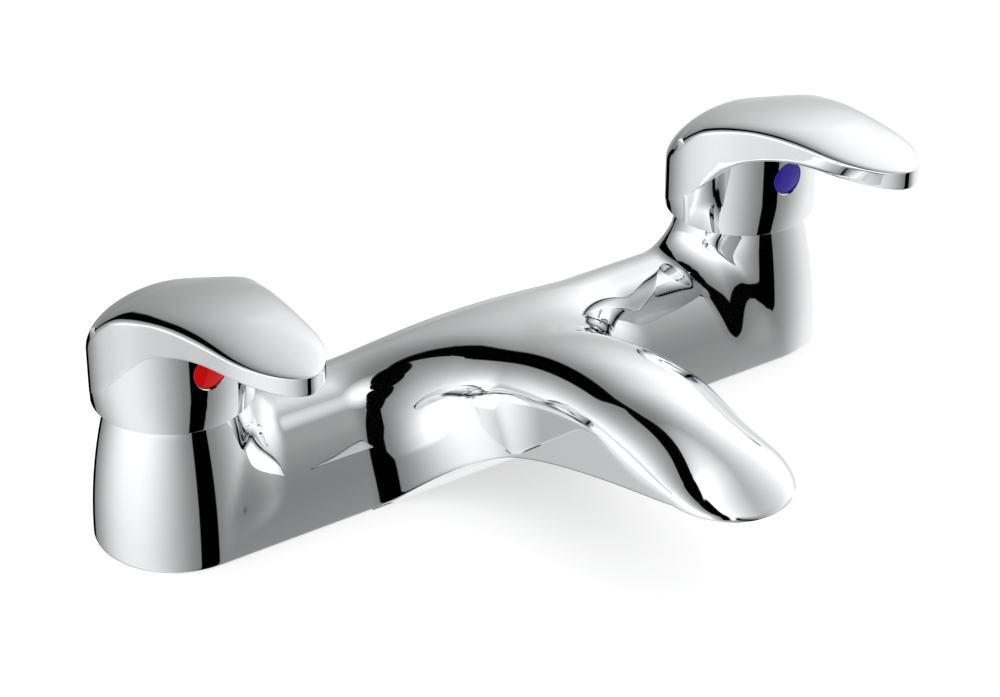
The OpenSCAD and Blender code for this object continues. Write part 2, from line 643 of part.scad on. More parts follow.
// One upright cut through the head along a heading, from the middle of the underside to the top
function head_cut(u, a, w, s) = let (d = [cos(a), sin(a)], e = [u, 0] + d * w, top = crown_top_z(u),
    hi = edge_z(e.x), lo = under_z(e.x), mid = min(under_z(u) + under_rise, top - lever_edge / 2))
    [concat(
        [for (t = belly_shares) [u + d.x * w * t, d.y * w * t, mid + (lo - mid) * t * t]],
        [[e.x, e.y, lo], [e.x, e.y, (lo + hi) / 2], [e.x, e.y, hi]],
        [for (k = [1 : crown_rows]) let (t = 1 - pow(k / (crown_rows + 1), crown_spread),
            p = [u, 0] + d * w * t, tip_z = hi + (top - hi) * pow(1 - t * t, crown_power))
            [p.x, p.y, u < round_u ? crown_z_at(p.x, p.y) : tip_z]]), s];

module lever_head() {
    us = [for (k = [0 : lever_steps]) round_u * k / lever_steps];
    n = lever_steps;
    cuts = concat(
        [for (k = [0 : 2 * head_fan - 1]) head_cut(0, 90 + 90 * k / head_fan, head_r, 0)],
        [for (i = [0 : n - 1]) head_cut(us[i], 270, side_w(us[i]), i)],
        [for (k = [0 : 2 * head_fan]) let (a = 270 + 90 * k / head_fan) head_cut(us[n], a, round_off(a), n)],
        [for (i = [n - 1 : -1 : 1]) head_cut(us[i], 90, side_w(us[i]), i)]);
    c = len(cuts);
    r = len(cuts[0][0]);
    lows = [for (u = us) [u, 0, min(under_z(u) + under_rise, crown_top_z(u) - lever_edge / 2)]];
    tops = [for (u = us) [u, 0, crown_top_z(u)]];
    at = function (i, k) k == 0 ? c * r + cuts[i][1] : k == r + 1 ? c * r + len(us) + cuts[i][1]
        : i * r + k - 1;
    faces = [for (i = [0 : c - 1], k = [0 : r]) let (j = (i + 1) % c)
        each [[at(i, k), at(i, k + 1), at(j, k + 1)], [at(i, k), at(j, k + 1), at(j, k)]]];
    polyhedron(concat([for (q = cuts) each q[0]], lows, tops),
        [for (f = faces) if (f[0] != f[1] && f[1] != f[2] && f[2] != f[0]) f], convexity = 8);
}

// Skirt: a round wall whose front part rises into the head, just inside the head's edge
module skirt() {
    front_share = 0.1;
    plan_share = 0.99;
    plan_steps = 12;
    front_u = -skirt_r * front_share;
    tall = edge_z(-front_u) - rim_z;
    past_u = skirt_r + overrun;
    us = [for (k = [0 : plan_steps]) front_u + (past_u - front_u) * k / plan_steps];
    translate([0, 0, rim_z]) difference() {
        cylinder(tall, skirt_r, skirt_r, $fn = fine);
        translate([0, 0, hollow_h]) difference() {
            cylinder(tall, past_u, past_u, $fn = fine);
            translate([0, 0, -overrun]) linear_extrude(tall + 2 * overrun)
                polygon([for (s = [1, -1], k = [0 : plan_steps]) let (u = us[s > 0 ? k : plan_steps - k])
                    [u, s * plan_share * side_w(u)]]);
        }
    }
}

// Handle: head and skirt in one casting, hollow below, bored for bush, screw and button
module handle(x) {
    color([0.82, 0.84, 0.85]) translate([x, 0, 0]) rotate([0, 0, -90]) difference() {
        union() {
            lever_head();
            skirt();
        }
        rotate_extrude($fn = fine) polygon([[0, rim_z - overrun], [hollow_r, rim_z - overrun],
            [hollow_r, boss_z + free_gap], [boss_r, roof_z], [boss_r, boss_z], [0, boss_z]]);
        cylinder(bush_top_z + free_gap, bush_r + running_gap, bush_r + running_gap, $fn = fine);
        translate([0, 0, button_z]) rotate([0, 90, 0]) {
            cylinder(skirt_r, screw_r + running_gap, screw_r + running_gap, $fn = facets);
            translate([0, 0, skirt_r - button_t - seat_gap])
                cylinder(skirt_r, button_r + seat_gap, button_r + seat_gap, $fn = facets);
        }
    }
}

module grub_screw(x) {
    hex_r = socket_af / 2 / cos(30);
    color([0.3, 0.31, 0.33]) translate([x, -bush_r - seat_gap, button_z]) rotate([90, 0, 0]) difference() {
        cylinder(screw_l, screw_r, screw_r, $fn = facets);
        translate([0, 0, screw_l - socket_af]) cylinder(socket_af + overrun, hex_r, hex_r, $fn = 6);
    }
}

// Index button: a plain disc with a low dome, flush in the front of the skirt
module index_button(x, tint) {
    dome_share = 4;
    dome_r = button_r * dome_share;
    color(tint) translate([x, button_t - skirt_r, button_z]) rotate([90, 0, 0]) intersection() {
        cylinder(button_t, button_r, button_r, $fn = facets);
        translate([0, 0, button_t - dome_r]) sphere(dome_r, $fn = fine);
    }
}

body();
flow_cage();
flow_insert();
flow_seal();
tail(hot_x);  // tail_hot
tail(cold_x);  // tail_cold
backnut(hot_x);  // backnut_hot
backnut(cold_x);  // backnut_cold
tail_washer(hot_x);  // tail_washer_hot
tail_washer(cold_x);  // tail_washer_cold
base_gasket(hot_x);  // base_gasket_hot
base_gasket(cold_x);  // base_gasket_cold
valve_body(hot_x);  // valve_body_hot
valve_body(cold_x);  // valve_body_cold
seat_seal(hot_x);  // seat_seal_hot
seat_seal(cold_x);  // seat_seal_cold
fixed_disc(hot_x);  // fixed_disc_hot
fixed_disc(cold_x);  // fixed_disc_cold
moving_disc(hot_x);  // moving_disc_hot
moving_disc(cold_x);  // moving_disc_cold
spindle(hot_x);  // spindle_hot
spindle(cold_x);  // spindle_cold
spindle_rings(hot_x);  // spindle_rings_hot
spindle_rings(cold_x);  // spindle_rings_cold
valve_ring(hot_x);  // valve_ring_hot
valve_ring(cold_x);  // valve_ring_cold
circlip(hot_x);  // circlip_hot
circlip(cold_x);  // circlip_cold
handle_bush(hot_x);  // handle_bush_hot
handle_bush(cold_x);  // handle_bush_cold
handle(hot_x);  // handle_hot
handle(cold_x);  // handle_cold
grub_screw(hot_x);  // grub_screw_hot
grub_screw(cold_x);  // grub_screw_cold
index_button(hot_x, [0.75, 0.05, 0.05]);  // index_button_hot
index_button(cold_x, [0.16, 0.1, 0.55]);  // index_button_cold
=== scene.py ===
"""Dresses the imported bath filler: camera, studio, casting, handles, buttons, outlet, tails and valves.

Metres, +Z up, the deck (bath rim) is the plane z = 0, hot is at -X and the spout points to -Y.
"""

import bpy
import math
import numpy as np
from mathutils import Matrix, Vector


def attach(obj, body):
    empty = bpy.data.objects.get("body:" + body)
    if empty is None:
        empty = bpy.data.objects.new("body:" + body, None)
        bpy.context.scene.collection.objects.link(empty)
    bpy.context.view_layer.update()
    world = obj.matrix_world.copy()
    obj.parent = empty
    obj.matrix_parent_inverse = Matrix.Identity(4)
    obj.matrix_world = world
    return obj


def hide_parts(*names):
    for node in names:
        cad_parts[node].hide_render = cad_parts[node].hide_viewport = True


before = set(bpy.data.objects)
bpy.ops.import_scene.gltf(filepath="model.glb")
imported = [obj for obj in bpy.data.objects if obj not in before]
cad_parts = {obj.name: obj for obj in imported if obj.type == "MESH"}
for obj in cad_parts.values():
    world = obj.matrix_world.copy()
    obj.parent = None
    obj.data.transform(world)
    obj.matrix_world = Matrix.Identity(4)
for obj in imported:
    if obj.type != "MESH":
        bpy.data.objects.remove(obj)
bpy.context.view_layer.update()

# The camera stands in front and to the left of the filler and looks down on it, as in the photograph.
# Its lens is long, so the two handles look nearly the same size.
camera_data = bpy.data.cameras.new("camera")
camera = bpy.data.objects.new("camera", camera_data)
bpy.context.scene.collection.objects.link(camera)
camera_place, camera_target = Vector((-0.40316, -0.60484, 0.45576)), Vector((0.0094, 0.0, 0.0193))
camera.location = camera_place
camera.rotation_mode = "QUATERNION"
camera.rotation_quaternion = (camera_target - camera_place).to_track_quat("-Z", "Y")
camera_data.lens = 113.86
camera_data.sensor_width = 36.0
camera_data.clip_start, camera_data.clip_end = 0.01, 50.0
bpy.context.scene.camera = camera
bpy.context.scene.view_settings.view_transform = "Standard"


# The studio is a dark room with two tall curved light panels and a round lamp overhead, as photographers of chrome
# build it. The gaps between the panels are the black bands in the chrome. What isn't chrome gets plain even light.
def add(tree, kind, links=(), **settings):
    """Adds a node. links is a list of (input, value or the output that feeds it)."""
    node = tree.nodes.new(kind)
    for name, value in settings.items():
        setattr(node, name, value)
    for name, value in links:
        if isinstance(value, bpy.types.NodeSocket):
            tree.links.new(value, node.inputs[name])
        else:
            node.inputs[name].default_value = value
    return node


def linear(code):
    """sRGB hex code to a linear RGBA colour."""
    parts = [int(code[i:i + 2], 16) / 255 for i in (1, 3, 5)]
    return tuple(p / 12.92 if p <= 0.04045 else ((p + 0.055) / 1.055) ** 2.4 for p in parts) + (1.0,)


world = bpy.data.worlds.new("studio")
bpy.context.scene.world = world
world.use_nodes = True
room = world.node_tree
room.nodes.clear()
# The room's front is where the photograph was taken from. It is fixed: no view of the filler turns the room.
FRONT, RIGHT = (-0.5635, -0.8261, 0.0), (0.8261, -0.5635, 0.0)
# How soft a panel's edge is, in degrees to each side; the light it has all over; the top of its level's curve
edge_soft, base_light, most_light = 0.8, 0.21, 2.0
direction = add(room, "ShaderNodeTexCoord").outputs["Generated"]
toward = add(room, "ShaderNodeVectorMath", [(0, direction), (1, FRONT)], operation="DOT_PRODUCT").outputs["Value"]
aside = add(room, "ShaderNodeVectorMath", [(0, direction), (1, RIGHT)], operation="DOT_PRODUCT").outputs["Value"]
upward = add(room, "ShaderNodeSeparateXYZ", [("Vector", direction)]).outputs["Z"]
around = add(room, "ShaderNodeMath", [(0, aside), (1, toward)], operation="ARCTAN2").outputs[0]
around = add(room, "ShaderNodeMath", [(0, around)], operation="DEGREES").outputs[0]
# The rise runs from 0, straight down, to 1, straight up
rise = add(room, "ShaderNodeMath", [(0, upward)], operation="ARCSINE").outputs[0]
rise = add(room, "ShaderNodeMath", [(0, rise), (1, 1 / math.pi), (2, 0.5)], operation="MULTIPLY_ADD").outputs[0]


def panel(centre, plateau, fades, left, right, level, lamp=None):
    """Light of one panel with sharp edges, brightest round its centre. All angles are in degrees.

    left and right are its edges and level is its brightness, each as straight lines through (elevation, value).
    """
    turned = add(room, "ShaderNodeMath", [(0, around), (1, centre)], operation="SUBTRACT").outputs[0]
    turned = add(room, "ShaderNodeMath", [(0, turned), (1, 180.0), (2, -180.0)], operation="WRAP").outputs[0]
    read = []
    sides = (centre - 180, centre + 180)
    for points, (low, high) in ((left, sides), (right, sides), (level, (0, most_light))):
        node = add(room, "ShaderNodeFloatCurve", [("Value", rise)])
        line = node.mapping.curves[0]
        places = [((e + 90) / 180, (v - low) / (high - low)) for e, v in points]
        line.points[0].location, line.points[1].location = places[0], places[-1]
        for place in places[1:-1]:
            line.points.new(*place)
        for point in line.points:
            point.handle_type = "VECTOR"
        node.mapping.update()
        read.append(node.outputs[0])
    light = add(room, "ShaderNodeMath", [(0, read[2]), (1, most_light)], operation="MULTIPLY").outputs[0]
    covers = []
    for edge, side, fade in ((read[0], 1, fades[0]), (read[1], -1, fades[1])):
        at = add(room, "ShaderNodeMapRange", [("Value", edge), ("To Min", -180.0), ("To Max", 180.0)]).outputs[0]
        inward = add(room, "ShaderNodeMath", [(0, turned), (1, at)], operation="SUBTRACT").outputs[0]
        cover = add(room, "ShaderNodeMapRange", [("Value", inward), ("From Min", -edge_soft), ("From Max", edge_soft),
                    ("To Min", (1 - side) / 2), ("To Max", (1 + side) / 2)], interpolation_type="SMOOTHSTEP").outputs[0]
        hump = add(room, "ShaderNodeMapRange", [("Value", turned), ("From Min", -side * (plateau + fade)),
                   ("From Max", -side * plateau)], interpolation_type="SMOOTHSTEP").outputs[0]
        light = add(room, "ShaderNodeMath", [(0, light), (1, hump)], operation="MULTIPLY").outputs[0]
        covers.append(cover)
    if lamp is not None:
        light = add(room, "ShaderNodeMath", [(0, light), (1, lamp)], operation="MAXIMUM").outputs[0]
    light = add(room, "ShaderNodeMath", [(0, light), (1, base_light)], operation="ADD").outputs[0]
    for cover in covers:
        light = add(room, "ShaderNodeMath", [(0, light), (1, cover)], operation="MULTIPLY").outputs[0]
    return light


# The long panel in front and to the left, from low down to high overhead
front_panel = panel(
    -58, 4, (92, 92),
    [(-90, -141), (10, -147), (40, -135), (58, -141), (70, -110), (78, -58), (90, -58)],
    [(-90, 29), (-20, 31), (-4, 31), (6, 37), (20, 36), (32, 31), (58, 27), (70, 6), (78, -58), (90, -58)],
    [(-90, 0.7), (-30, 0.72), (-4, 1.0), (0, 1.8), (12, 1.8), (30, 1.05), (50, 0.48), (75, 0.02), (90, 0)])
# The lamp overhead, to the right and behind: how far round and up it is, its radius and its brightness
lamp_round, lamp_up, lamp_radius, lamp_light = math.radians(135), math.radians(78), math.radians(24), 1.25
over = [math.cos(lamp_up) * (math.cos(lamp_round) * f + math.sin(lamp_round) * r)
        for f, r in zip(FRONT[:2], RIGHT[:2])] + [math.sin(lamp_up)]
off_lamp = add(room, "ShaderNodeVectorMath", [(0, direction), (1, over)], operation="DOT_PRODUCT").outputs["Value"]
off_lamp = add(room, "ShaderNodeMath", [(0, off_lamp)], operation="ARCCOSINE").outputs[0]
lamp = add(room, "ShaderNodeMapRange", [("Value", off_lamp), ("From Max", lamp_radius), ("To Min", lamp_light),
           ("To Max", 0.0)]).outputs[0]
# The second panel stands to the right and behind
back_panel = panel(
    150, 12, (90, 47),
    [(-90, 56), (62, 56), (75, 66), (80, 80), (90, 150)],
    [(-90, 189), (-32, 192), (-16, 209), (6, 200), (45, 208), (62, 212), (70, 204), (80, 195), (90, 150)],
    [(-90, 0.7), (-30, 0.75), (-4, 0.52), (3, 0.57), (25, 1.05), (42, 0.9), (57, 0.36), (70, 0.1), (90, 0)], lamp)
panels = add(room, "ShaderNodeMath", [(0, front_panel), (1, back_panel)], operation="ADD").outputs[0]
# Mirrors see the panels, the camera sees white, and everything else is lit by plain even light
even_light = 0.9
seen_by = add(room, "ShaderNodeLightPath")
glow = add(room, "ShaderNodeMix", [("Factor", seen_by.outputs["Is Glossy Ray"]), ("A", even_light), ("B", panels)])
glow = add(room, "ShaderNodeMix", [("Factor", seen_by.outputs["Is Camera Ray"]), ("A", glow.outputs[0]), ("B", 1.0)])
backdrop = add(room, "ShaderNodeBackground", [("Color", (1, 1, 1, 1)), ("Strength", glow.outputs[0])])
add(room, "ShaderNodeOutputWorld", [("Surface", backdrop.outputs[0])])


# The bath's rim, which the filler stands on: a large flat sheet of white acrylic, drawn matt. It takes the
# shadow. Mirrors don't see it, and show the lower ends of the room's panels in its place.
def mesh_object(name, points, faces, smooth=True):
    """A mesh object at the origin, unturned, from points in millimetres."""
    mesh = bpy.data.meshes.new(name)
    mesh.from_pydata((np.asarray(points, float) / 1000).tolist(), [], [list(map(int, f)) for f in faces])
    mesh.validate()
    mesh.polygons.foreach_set("use_smooth", [smooth] * len(mesh.polygons))
    made = bpy.data.objects.new(name, mesh)
    bpy.context.scene.collection.objects.link(made)
    return made


# Cast acrylic, white: to the camera it has some light of its own, which makes it as white as the backdrop
own_light, far = 0.42, 6000.0
rim_paint = bpy.data.materials.new("bath_rim_acrylic")
rim_paint.use_nodes = True
tree = rim_paint.node_tree
tree.nodes.clear()
path = add(tree, "ShaderNodeLightPath")
matt = add(tree, "ShaderNodeBsdfDiffuse", [("Color", linear("#f4f4f4"))])
shine = add(tree, "ShaderNodeEmission", [("Color", (1, 1, 1, 1)), ("Strength", own_light)])
lit = add(tree, "ShaderNodeAddShader", [(0, matt.outputs[0]), (1, shine.outputs[0])])
pick = add(tree, "ShaderNodeMixShader", [(0, path.outputs["Is Camera Ray"]), (1, matt.outputs[0]), (2, lit.outputs[0])])
add(tree, "ShaderNodeOutputMaterial", [("Surface", pick.outputs[0])])
floor = mesh_object("floor", [(-far, -far, 0), (far, -far, 0), (far, far, 0), (-far, far, 0)], [(0, 1, 2, 3)], False)
floor.data.materials.append(rim_paint)
floor.visible_glossy = False


# The casting: one brass gravity casting with two pillars, a low bridge and an arched spout, ground, polished
# and plated with bright chrome. Its skin is a smooth blend of the three forms, drawn in upright cuts that
# start at the middle lines of bridge and spout. Its waterways and pockets are machined.
half, pillar_h, base_r, neck_r = 90.0, 41.5, 22.3, 16.3
bridge_h, bridge_power, pillar_fillet, spout_fillet = 28.9, 2.3, 7.1, 27.0
reach, tip_r, root_w, outlet_z, crown_z, crown_y = 110.3, 17.2, 19.1, 38.7, 52.1, 76.5
root_drop, arch_steep, arch_power, wall_share = 28.5, 12.1, 0.52, 0.6
front_y, back_r, corner_x, corner_y = -base_r, root_w / 3, half * 2 / 3, -reach * 0.65
edge_round, tip_ease, tip_share = 0.8, 9.0, 0.2
pillars = ((-half, "hot"), (half, "cold"))


def ease(t):
    """0 before 0 and 1 after 1, with a smooth start and end between them."""
    s = np.clip(t, 0, 1)
    return s * s * (3 - 2 * s)


def joined(a, b, r):
    """Distance to two forms joined by a fillet of radius r."""
    return np.maximum(r, np.minimum(a, b)) - np.hypot(np.maximum(r - a, 0), np.maximum(r - b, 0))


def to_section(u, v, n, w, h):
    """Distance to a rounded section of half width w and height h."""
    s = u ** n + v ** n + 1e-6
    k = s ** (1 / n - 1)
    return (s ** (1 / n) - 1) / (k * np.hypot(u ** (n - 1) / w, v ** (n - 1) / h) + 1e-6)


def arch_z(y):
    """Height of the arch under the spout, from the bridge's front to the outlet."""
    t = np.clip((front_y - y) / (front_y + reach), 0, 1)
    return outlet_z * t * ((1 + arch_steep) / (1 + arch_steep * t)) ** arch_power


def under(x, y):
    """Height of the casting's underside: flat under the pillars, arched under the spout."""
    return np.where(np.abs(x) > corner_x, 0.0, arch_z(y))


def to_skin(x, y, z):
    """Signed distance to the casting's skin."""
    h = np.maximum(z, 0)
    lean = 2 * (base_r - neck_r) * h / pillar_h ** 2
    from_axis = np.hypot(np.abs(x) - half, y)
    pillar = (from_axis - base_r + (base_r - neck_r) * (h / pillar_h) ** 2) / np.hypot(1, lean)
    bridge = np.maximum(np.abs(x) - half,
                        to_section(np.abs(y) / base_r, h / bridge_h, bridge_power, base_r, bridge_h))
    hollow = pillar_fillet * ease((half - np.abs(x)) / neck_r) * ease(2 * z / bridge_h)
    w = np.where(y > -reach, tip_r + (root_w - tip_r) * np.clip(1 + np.minimum(y, 0) / reach, 0, 1), tip_r)
    # The tip's rounding sets in gently, so that the polish shows no line across the spout
    past = (np.hypot(-y - reach, tip_ease) - y - reach) / (math.hypot(tip_r, tip_ease) + tip_r)
    t = np.hypot(x / w, np.where(y > 0, y / back_r, past))
    low = arch_z(y)
    top = crown_z - root_drop * ((-np.clip(y, -reach - tip_r, back_r) - crown_y) / crown_y) ** 2
    wall = low + (wall_share + (tip_share - wall_share) * ease((-y - crown_y) / tip_ease / 3)) * (top - low)
    spout = to_section(t, np.maximum(z - wall, 0) / (top - wall), 2.0, w, top - wall)
    skin = joined(joined(pillar, bridge, hollow), spout, spout_fillet)
    lid = z - pillar_h - np.where(from_axis < base_r + pillar_fillet, 0, crown_z)
    return np.maximum(lid, skin)


def leave(start, way, low_side=False, rounds=26):
    """How far along each ray the skin is; on the low side the height follows the hollow under the spout."""
    a, b = np.zeros(len(start)), np.full(len(start), half)
    for _ in range(rounds):
        m = (a + b) / 2
        p = start + way * m[:, None]
        inside = to_skin(p[:, 0], p[:, 1], under(p[:, 0], p[:, 1]) if low_side else p[:, 2]) < 0
        a, b = np.where(inside, m, a), np.where(inside, b, m)
    return (a + b) / 2


def stations():
    """Points on the middle lines, then the list of (station, heading) round the casting."""
    fan, neck, flank, corner, deck, root, spout = 52, 14, 30, 44, 10, 34, 34
    flank_x = half - neck_r
    xs = [half - neck_r * math.sin(k * math.pi / 2 / neck) for k in range(neck + 1)]
    xs += [flank_x - (flank_x - corner_x) * (k / flank) ** 1.6 for k in range(1, flank + 1)]
    xs += [corner_x * (1 - k / corner) for k in range(1, corner + 1)]
    ys = [front_y * k / deck for k in range(1, deck + 1)]
    ys += [front_y + (corner_y - front_y) * (k / root) ** 1.3 for k in range(1, root + 1)]
    ys += [corner_y - (reach + corner_y) * k / spout for k in range(1, spout + 1)]
    n, m, bend, turn = len(xs) - 1, len(ys) - 1, len(xs) - 1 - corner, deck + root
    line = [(x, 0.0) for x in xs] + [(-x, 0.0) for x in xs[-2::-1]] + [(0.0, y) for y in ys]
    first = 2 * n + 1
    heads = [(0, -90 + 180 * k / fan) for k in range(fan)]
    heads += [(i, 90) for i in range(2 * n + 1)]
    heads += [(2 * n, 90 + 180 * k / fan) for k in range(1, fan + 1)]
    heads += [(i, 270) for i in range(2 * n - 1, 2 * n - bend - 1, -1)]
    heads += [(2 * n - bend - k, 270 - 45 * k / corner) for k in range(1, corner + 1)]
    heads += [(first + j, 225 - 45 * ys[j] / corner_y) for j in range(turn)]
    heads += [(first + j, 180) for j in range(turn, m + 1)]
    heads += [(first + m, 180 + 180 * k / fan) for k in range(1, fan + 1)]
    heads += [(first + j, 0) for j in range(m - 1, turn - 1, -1)]
    heads += [(first + j, 315 + 45 * ys[j] / corner_y) for j in range(turn - 1, -1, -1)]
    heads += [(bend + k, 270 + 45 * k / corner) for k in range(corner, 0, -1)]
    heads += [(i, 270) for i in range(bend, 0, -1)]
    return np.array(line), np.array([h[0] for h in heads]), np.radians([h[1] for h in heads])


def skin_of(rows, lows, tops, where):
    """Closed mesh from cuts (cut, row, point) that start at the low points and end at the top points."""
    cuts, count = rows.shape[:2]
    points = np.concatenate([rows.reshape(-1, 3), lows, tops])
    index = np.arange(cuts * count).reshape(cuts, count)
    grid = np.column_stack([cuts * count + where, index, cuts * count + len(lows) + where])
    after = np.roll(grid, -1, axis=0)
    quads = np.stack([grid[:, :-1], grid[:, 1:], after[:, 1:], after[:, :-1]], -1).reshape(-1, 4)
    faces = []
    for q in quads.tolist():
        face = [p for i, p in enumerate(q) if p != q[i - 1]]
        if len(face) > 2:
            faces.append(face[::-1])
    return points, faces


def casting_skin():
    """The casting's skin as a closed mesh: its underside, a rounded lower edge, then its sides and top."""
    low_rows, edge_rows, side_rows, steepest = 9, 6, 44, math.radians(82)
    line, where, heading = stations()
    c = line[where]
    way = np.column_stack([np.cos(heading), np.sin(heading)])
    flat = np.column_stack([way, np.zeros(len(way))])
    low = under(c[:, 0], c[:, 1])
    start = np.column_stack([c, low])
    e = leave(start, flat, True)
    edge = start + flat * e[:, None]
    edge[:, 2] = under(edge[:, 0], edge[:, 1])
    crosses = (c[:, 1] > front_y) & (edge[:, 2] > 0)
    f = np.where(crosses, (front_y - c[:, 1]) / np.where(crosses, way[:, 1], 1),
                 np.where(c[:, 1] > front_y, e / 2, e * 0.04))
    rows = []
    for t in np.linspace(0, 1, low_rows) ** 1.4:
        s = f + (e - edge_round - f) * t
        p = start + flat * s[:, None]
        p[:, 2] = under(p[:, 0], p[:, 1])
        rows.append(p)
    inner = rows[-1]
    first = np.arctan2(edge[:, 2] - low + edge_round, e)
    level = np.sqrt(np.maximum(neck_r ** 2 - (half - np.abs(c[:, 0])) ** 2, 0))
    last = np.minimum(np.arctan2(pillar_h, level), steepest)

    def on_ray(angle):
        """Points of the skin seen from the middle lines at this angle above the level."""
        ray = np.column_stack([way * np.cos(angle)[:, None], np.sin(angle)])
        return start + ray * leave(start, ray)[:, None]

    outer = on_ray(first)
    for t in np.linspace(0, 1, edge_rows)[1:-1]:
        rows.append((1 - t) ** 2 * inner + 2 * t * (1 - t) * edge + t * t * outer)
    rows.append(outer)
    rows += [on_ray(first + (last - first) * k / side_rows) for k in range(1, side_rows + 1)]
    rows += [on_ray(last + (math.pi / 2 - last) * t) for t in (0.15, 0.32, 0.5, 0.68, 0.85)]
    rows = np.stack(rows, 1)
    lows = np.column_stack([line, under(line[:, 0], line[:, 1])])
    up = np.tile([0.0, 0.0, 1.0], (len(lows), 1))
    tops = lows + up * leave(lows, up)[:, None]
    return skin_of(rows, lows, tops, where)


def lathe(profile, centre=(0, 0, 0), axis="z", turns=128):
    """Points and faces of a closed turned shape; the profile is a closed loop of (radius, height)."""
    ring = np.array(profile, float)
    a = np.arange(turns) * 2 * math.pi / turns
    p = np.stack([ring[:, 0][None] * np.cos(a)[:, None], ring[:, 0][None] * np.sin(a)[:, None],
                  np.tile(ring[:, 1], (turns, 1))], -1)
    if axis == "x":
        p = p[..., [2, 0, 1]]
    if axis == "-y":
        p = np.stack([p[..., 0], -p[..., 2], p[..., 1]], -1)
    n, m = turns, len(ring)
    index = np.arange(n * m).reshape(n, m)
    on_axis = np.abs(ring[:, 0]) < 1e-9
    index[:, on_axis] = index[0, on_axis]
    after, up = np.roll(index, -1, axis=0), np.roll(index, -1, axis=1)
    both_on = np.roll(after, -1, axis=1)
    faces = []
    for q in np.stack([index, after, both_on, up], -1).reshape(-1, 4).tolist():
        face = [v for i, v in enumerate(q) if v != q[i - 1]]
        if len(set(face)) > 2:
            faces.append(face)
    return p.reshape(-1, 3) + np.array(centre, float), faces


def bore(radius, low, high, centre=(0, 0, 0), axis="z", turns=128):
    """A plain drill's shape, from low to high along the axis."""
    return lathe([(0, low), (radius, low), (radius, high), (0, high)], centre, axis, turns)


def as_plain_mesh(piece):
    """Puts what the piece's modifiers make on it as its mesh, with no material yet, and removes them."""
    finished = bpy.data.meshes.new_from_object(piece.evaluated_get(bpy.context.evaluated_depsgraph_get()))
    piece.modifiers.clear()
    piece.data = finished
    finished.name = piece.name
    finished.materials.clear()


def machined(name, skin, joins, cutters, sharp=32):
    """A piece made of a skin and what is joined to it, less the cutters; edges over the angle stay sharp."""
    piece = mesh_object(name, *skin)
    tools = []
    for kind, shapes in (("UNION", joins), ("DIFFERENCE", cutters)):
        for shape in shapes:
            tool = mesh_object(f"{name}_tool{len(tools)}", *shape)
            tools.append(tool)
            step = piece.modifiers.new(f"step{len(tools)}", "BOOLEAN")
            step.operation, step.object, step.solver = kind, tool, "MANIFOLD"
    as_plain_mesh(piece)
    for tool in tools:
        bpy.data.objects.remove(tool)
    piece.data.polygons.foreach_set("use_smooth", [True] * len(piece.data.polygons))
    piece.data.set_sharp_from_angle(angle=math.radians(sharp))
    return piece


# The inlet's spigot hole, the valve's seat and pocket, the gasket's groove, the cross way from pillar to pillar,
# and the outlet's recess with the chamber over it. Each cutter runs past the skin by the overrun.
spigot_r, spigot_h, seat_hole_r, seat_z, pocket_r, overrun = 12.1, 8.0, 6.6, 11.0, 13.25, 1.0
groove_in, groove_out, groove_h, cross_r, cross_z = 15.4, 20.1, 1.5, 5.5, 18.0
outlet_y, recess_r, recess_low, recess_top, chamber_r, chamber_top = -103.0, 9.35, 30.0, 42.8, 5.735, 44.8
cutters = []
for x, _ in pillars:
    at = (x, 0, 0)
    cutters += [bore(spigot_r, -overrun, spigot_h, at), bore(seat_hole_r, spigot_h - overrun, seat_z + overrun, at),
                bore(pocket_r, seat_z, pillar_h + overrun, at)]
    cutters.append(lathe([(groove_in, -overrun), (groove_out, -overrun), (groove_out, groove_h),
                          (groove_in, groove_h)], at))
outlet = (0, outlet_y, 0)
cutters += [bore(cross_r, -half, half, (0, 0, cross_z), "x", 64), bore(recess_r, recess_low, recess_top, outlet),
            bore(chamber_r, recess_top - overrun, chamber_top, outlet)]
casting = machined("casting", casting_skin(), [], cutters)


def bright_chrome(name, colour, waviness):
    """Chrome plate over polished metal: near mirror, slightly cool, with the faint long waves that buffing leaves."""
    material = bpy.data.materials.new(name)
    material.use_nodes = True
    tree = material.node_tree
    shader = tree.nodes["Principled BSDF"]
    shader.inputs["Base Color"].default_value = linear(colour)
    shader.inputs["Metallic"].default_value = 1.0
    place = add(tree, "ShaderNodeTexCoord").outputs["Object"]
    waves = add(tree, "ShaderNodeTexNoise", [("Vector", place), ("Scale", 60.0), ("Detail", 1.0)])
    haze = add(tree, "ShaderNodeTexNoise", [("Vector", place), ("Scale", 900.0), ("Detail", 3.0)])
    rough = add(tree, "ShaderNodeMapRange", [("Value", haze.outputs["Fac"]), ("To Min", 0.025), ("To Max", 0.05)])
    bump = add(tree, "ShaderNodeBump", [("Height", waves.outputs["Fac"]), ("Strength", 1.0), ("Distance", waviness)])
    tree.links.new(rough.outputs["Result"], shader.inputs["Roughness"])
    tree.links.new(bump.outputs["Normal"], shader.inputs["Normal"])
    return material


# Chrome plate on brass: the cool mirror of the photograph. The waves are 17 mm long and a few micrometres high,
# and a haze of 1.1 mm spots makes it here a little sharper and there a little softer.
casting_chrome = bright_chrome("chrome_plated_polished_brass", "#f4f6f7", 0.000004)
casting.data.materials.append(casting_chrome)
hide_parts("body")
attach(casting, "filler")


